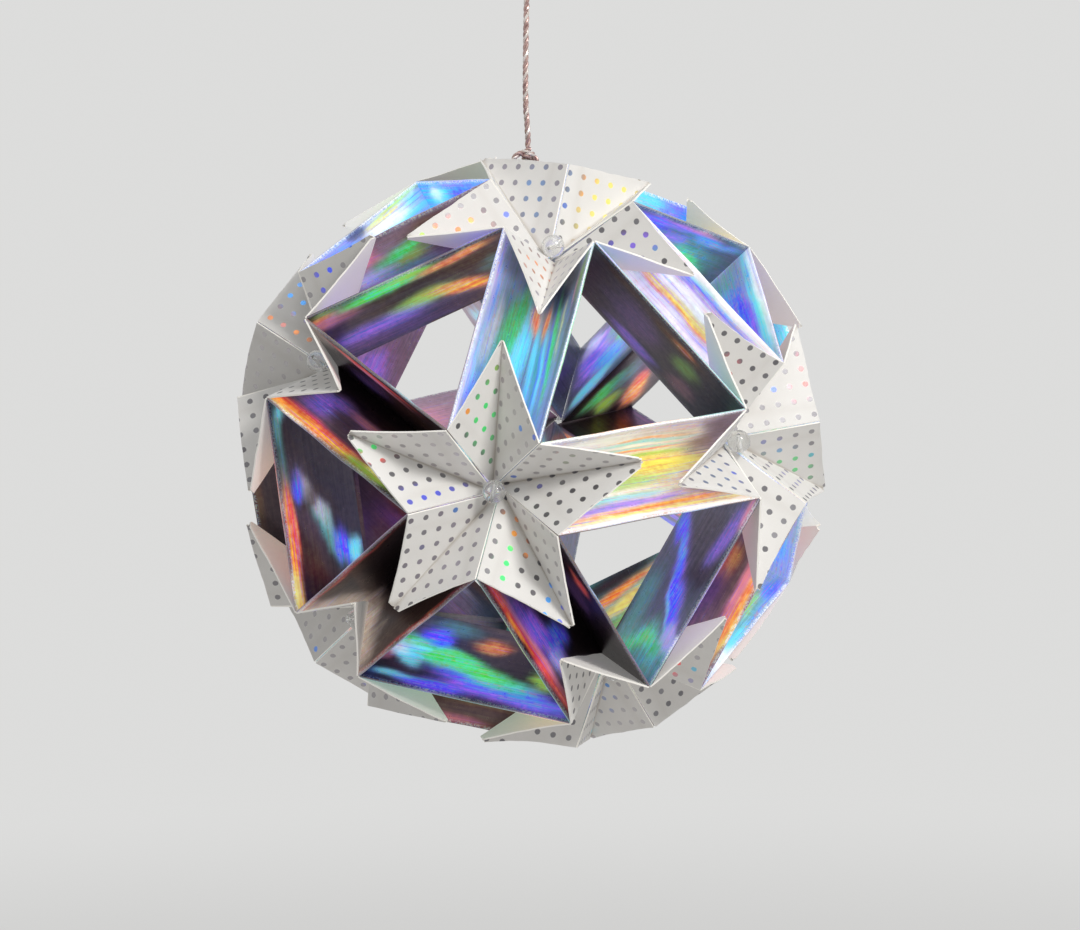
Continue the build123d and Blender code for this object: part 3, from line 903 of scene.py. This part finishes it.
def paint_arm(bm, spot, number, end, turn):
    """Hold an arm's points within its thickness, and lay on them its dots, its sparks of painted
    glint, the pale dots of painted reflection and the painted shade of its creases.
    """
    side = bm.verts.layers.float.new("side")
    flat = bm.verts.layers.float_vector.new("flat")
    spark = bm.verts.layers.float_color.new("spark")
    pale = bm.verts.layers.float.new("pale")
    crease = bm.verts.layers.float.new("crease")
    share_along = bm.verts.layers.float["share_along"]
    share_across = bm.verts.layers.float["share_across"]
    for vert in bm.verts:
        s, t = vert[share_along], vert[share_across]
        middle = spot(s, t)
        away = vert.co - middle
        vert.co = middle + away * min(1.0, arm_thickness / away.length)
        vert[side] = 1.0 if away.z > 0 else -1.0
        half, out = ("A", wing(shoulder_a)) if t < 0 else ("B", wing(shoulder_b))
        x = (middle - corner).dot(arm_fold)
        y = (middle - corner).dot(out) * (-1 if t < 0 else 1)
        vert[flat] = (
            (x + y) / sqrt(2) / dot_pitch + number * 5 + end * 2.5,
            (x - y) / sqrt(2) / dot_pitch + number * 3,
            0.0,
        )
        smears = sparks_seen.get(f"{number}.{end}{half}")
        if smears is None:
            chance = Random(f"{number}{end}{half}")
            smears = [(
                chance.choice(rainbow_order), chance.uniform(0, 2), chance.random(), 0.4, 0.3,
                chance.choice((0, 0.5, 0.9)),
            )]
        shade, amount = smeared(tints["mauve"], smears, 2 * s, abs(t), number)
        vert[spark] = (*shade, amount)
        # Halves that face away from the key lamp get pale dots: painted reflection
        facing = arm_fold.cross(out)
        facing = turn @ (facing if facing.z > 0 else -facing)
        lit = facing.dot(key_place.normalized())
        vert[pale] = min(1.0, max(0.0, 1.0 - lit / painted_reflection_from))
        vert[crease] = painted_crease_shade(s, t) if vert[side] > 0 else 0.0
    for face in bm.faces:
        face.material_index = 0 if all(vert[side] > 0 for vert in face.verts) else 1
        face.smooth = True


for number, (first, second) in enumerate(edges, start=1):
    both = bmesh.new()
    mesh = bpy.data.meshes.new("arm")
    for end in (0, 1):
        turn = placed(first, second) @ Matrix.Rotation(pi * end, 3, "Z")
        spot = arm_spot(number, end)
        bm = sheet(*arm_grid, spot)
        thicken(bm, arm_thickness)
        paint_arm(bm, spot, number, end, turn)
        bmesh.ops.transform(bm, matrix=turn.to_4x4(), verts=bm.verts)
        bm.to_mesh(mesh)
        bm.free()
        both.from_mesh(mesh)
    bpy.data.meshes.remove(mesh)
    finished(
        both, f"arms_{number:02d}", [dotted_face, plain_face], "dotted_paper", f"unit_{number:02d}"
    )

# Glass beads with a bore
glass = Finish(bpy.data.materials.new("clear_glass"))
glass.feed(glass.shader, {
    "Base Color": colour(0.95, 0.955, 0.945), "Roughness": 0.13, "IOR": 1.42,
    "Transmission Weight": 0.82, "Coat Weight": 1.0, "Coat Roughness": 0.02,
})
bead_bore = 0.34 * mm
bead_rings, bead_segments = 22, 36
for number, axis in enumerate(star_axes, start=1):
    chance = Random(number)
    bm = bmesh.new()
    reach = bead_diameter / 2
    open_angle = asin(bead_bore / reach)
    pole = bmesh.ops.create_vert(bm, co=(bead_bore, 0, reach * cos(open_angle)))["vert"]
    bmesh.ops.spin(
        bm, geom=pole, cent=(0, 0, 0), axis=(0, 1, 0), angle=pi - 2 * open_angle, steps=bead_rings
    )
    ends = [vert for vert in bm.verts if len(vert.link_edges) == 1]
    bmesh.ops.contextual_create(bm, geom=ends)
    bmesh.ops.spin(
        bm, geom=bm.verts[:] + bm.edges[:], cent=(0, 0, 0), axis=(0, 0, 1), angle=2 * pi,
        steps=bead_segments, use_merge=True,
    )
    bmesh.ops.remove_doubles(bm, verts=bm.verts, dist=tiny)
    bmesh.ops.recalc_face_normals(bm, faces=bm.faces)
    for face in bm.faces:
        face.smooth = True
    lean = Matrix.Rotation(radians(chance.uniform(30, 75)), 4, "X")
    swing_about = Matrix.Rotation(chance.uniform(0, 2 * pi), 4, "Z")
    outward = Vector((0, 0, 1)).rotation_difference(hung @ axis).to_matrix().to_4x4()
    bmesh.ops.transform(
        bm, matrix=Matrix.Translation(hung @ axis * bead_height) @ outward @ swing_about @ lean,
        verts=bm.verts,
    )
    finished(bm, f"glass_bead_{number:02d}", [glass.material], "glass_bead", f"bead_{number:02d}")


# Thread of three plies, one of them bright
def ply(name, dark, bright):
    """Metallic ply of the thread, with glints along it."""
    made = Finish(bpy.data.materials.new(name))
    place = made.node("ShaderNodeTexCoord")[3]
    fibre = made.noise(made.vector("MULTIPLY", place, (1.0, 1.0, 0.35))[0], 9000.0, 2.0, 0.6)
    patch = made.noise(place, 900.0, 2.0)
    shine = (fibre.step(0.35, 0.7) * 0.6 + patch.step(0.4, 0.6) * 0.4).kept()
    made.feed(made.shader, {
        "Base Color": made.mix(shine, dark, bright), "Metallic": 0.55, "Roughness": 0.32,
    })
    made.bump(fibre, 0.4, ply_relief)
    return made.material


ply_relief = 0.05 * mm
bright_ply = ply("bright_ply", colour(0.58, 0.48, 0.44), colour(0.98, 0.93, 0.88))
rose_ply = ply("rose_ply", colour(0.30, 0.18, 0.17), colour(0.72, 0.52, 0.47))
ply_radius, ply_orbit, ply_pitch = 0.27 * mm, 0.28 * mm, 3.5 * mm
knot_turns, knot_steps = 1.8, 70


def line_of(name, kind, points):
    """A curve of one spline through or near these points."""
    line = bpy.data.curves.new(name, "CURVE")
    line.dimensions = "3D"
    spline = line.splines.new(kind)
    spline.points.add(len(points) - 1)
    for guide, place in zip(spline.points, points):
        guide.co = (*place, 1)
    return line, spline


def read(name, line):
    """The mesh that a curve makes."""
    holder = bpy.data.objects.new(name, line)
    mesh = bpy.data.meshes.new_from_object(holder)
    bpy.data.objects.remove(holder)
    bpy.data.curves.remove(line)
    return mesh


def route(name, points):
    """Points read from the smooth spline that these points guide."""
    line, spline = line_of(name, "NURBS", points)
    line.resolution_u = 26
    spline.order_u = 3
    spline.use_endpoint_u = True
    mesh = read(name, line)
    steps = [vert.co.copy() for vert in mesh.vertices]
    bpy.data.meshes.remove(mesh)
    return steps


def twist(bm, steps):
    """Lay three plies round a line of points."""
    frames = []
    heading, run = Vector((0, 0, 1)), 0.0
    turn = Matrix.Identity(3)
    for index, place in enumerate(steps):
        ahead = (steps[min(index + 1, len(steps) - 1)] - steps[max(index - 1, 0)]).normalized()
        turn = heading.rotation_difference(ahead).to_matrix() @ turn
        run += (place - steps[index - 1]).length if index else 0.0
        heading = ahead
        frames.append((place, turn.copy(), run))
    for strand in range(3):
        spots = [
            place + turn @ Matrix.Rotation(2 * pi * (run / ply_pitch + strand / 3), 3, "Z")
            @ Vector((ply_orbit, 0, 0))
            for place, turn, run in frames
        ]
        line, spline = line_of("ply", "POLY", spots)
        line.bevel_depth, line.bevel_resolution, line.use_fill_caps = ply_radius, 2, True
        mesh = read("ply", line)
        count = len(bm.faces)
        bm.from_mesh(mesh)
        bpy.data.meshes.remove(mesh)
        bm.faces.ensure_lookup_table()
        for face in bm.faces[count:]:
            face.material_index = 0 if strand == 0 else 1
            face.smooth = True
    bmesh.ops.remove_doubles(bm, verts=bm.verts, dist=1e-7)


def tied(name, node, knot_middle, ring_middle, ring_axis, turned_by):
    """A loop of thread closed by a knot of two turns round the thread's own line."""
    reach = (ring_middle - knot_middle).length
    up = (knot_middle - ring_middle).normalized()
    aside = up.cross(ring_axis.normalized())
    bm = bmesh.new()
    twist(bm, route(name, [ring_middle + (aside * x + up * y) * reach for x, y in loop_guides]))
    wrap = bmesh.new()
    start = bmesh.ops.create_vert(wrap, co=((knot_diameter - thread_diameter) / 2, 0, 0))["vert"]
    bmesh.ops.rotate(wrap, verts=start, cent=(0, 0, 0), matrix=Matrix.Rotation(turned_by, 3, "Z"))
    rise = knot_height - thread_diameter
    bmesh.ops.spin(
        wrap, geom=start, cent=(0, 0, 0), axis=(0, 0, 1), dvec=(0, 0, rise / knot_steps),
        angle=2 * pi * knot_turns, steps=knot_steps,
    )
    low = knot_middle - Vector((0, 0, rise / 2))
    twist(bm, sorted((low + vert.co for vert in wrap.verts), key=lambda place: place.z))
    wrap.free()
    bmesh.ops.recalc_face_normals(bm, faces=bm.faces)
    return finished(bm, name, [bright_ply, rose_ply], "metallic_thread", node)


loop_guides = (
    (0, 1), (0.7, 1.0), (1.03, 0.35), (1.03, -0.55), (0.5, -1.0),
    (-0.5, -1.0), (-1.03, -0.55), (-1.03, 0.35), (-0.7, 1.0), (0, 1),
)
knot = hung @ knot_place
tie_middle = hung @ (hole_place + wall_up * tie_radius)
tied("tied_rim_loop", "rim_loop", knot, tie_middle, hung @ rim_run, 0.4)
thread_foot = knot + Vector((0, 0, knot_height / 2))
top_knot = thread_foot + Vector((0, 0, thread_length + knot_height / 2))
hanging = tied(
    "tied_hanging_loop", "hanging_loop", top_knot, top_knot + Vector((0, 0, hanging_radius)),
    Vector((0, 1, 0)), 2.1,
)
thread_guides = (
    (0, 0, 0), (0, 0, 3), (-0.45, 0, 8), (-0.25, 0, 20), (0, 0, 29), (0, 0, thread_length / mm)
)
thread_line = route("thread_route", [thread_foot + Vector(guide) * mm for guide in thread_guides])
bm = bmesh.new()
twist(bm, thread_line)
bmesh.ops.recalc_face_normals(bm, faces=bm.faces)
thread = finished(bm, "twisted_thread", [bright_ply, rose_ply], "metallic_thread", "thread")
[tuple(place) for place in thread_line]

# Floor and backdrop: to the camera both are one even pale grey
floor_drop = 0.20
floor_radius = 6.0
backdrop = colour(0.72, 0.72, 0.713)
stage = Finish(bpy.data.materials.new("pale_floor"))
afar = stage.vector("LENGTH", stage.node("ShaderNodeTexCoord")[3])[0].step(0.3, 0.9)
glow = stage.node("ShaderNodeEmission", {}, {"Color": backdrop})[0]
stage.feed(stage.shader, {"Base Color": colour(0.70, 0.69, 0.68), "Roughness": 0.9})
shown = stage.node("ShaderNodeMixShader", {}, {
    0: stage.seen() * (afar * 0.45 + 0.55), 1: Field(stage, stage.shader.outputs[0]), 2: glow,
})[0]
stage.feed(stage.output, {"Surface": shown})
bm = bmesh.new()
bmesh.ops.create_circle(bm, cap_ends=True, segments=96, radius=floor_radius)
bmesh.ops.translate(bm, verts=bm.verts, vec=(0, 0, -floor_drop))
floor_mesh = bpy.data.meshes.new("floor")
bm.to_mesh(floor_mesh)
bm.free()
floor = bpy.data.objects.new("floor", floor_mesh)
floor_mesh.materials.append(stage.material)
scene.collection.objects.link(floor)

scene.world = bpy.data.worlds.new("studio")
studio = Finish(scene.world)
studio.feed(studio.tree.nodes["Background"], {
    "Color": backdrop, "Strength": studio.seen() * 0.51 + 0.49,
})


def lamp(name, place, size, power, tint):
    """A square soft lamp that faces the ball."""
    light = bpy.data.lights.new(name, "AREA")
    light.size, light.energy, light.color = size, power, tint
    made = bpy.data.objects.new(name, light)
    made.location = place
    made.rotation_euler = (-Vector(place)).to_track_quat("-Z", "Y").to_euler()
    scene.collection.objects.link(made)


lamp("key", key_place, 0.22, 4.2, (1.0, 0.985, 0.96))
lamp("top", (0.15, -0.2, 0.85), 0.5, 1.3, (0.97, 0.98, 1.0))

scene.view_settings.view_transform = "Standard"
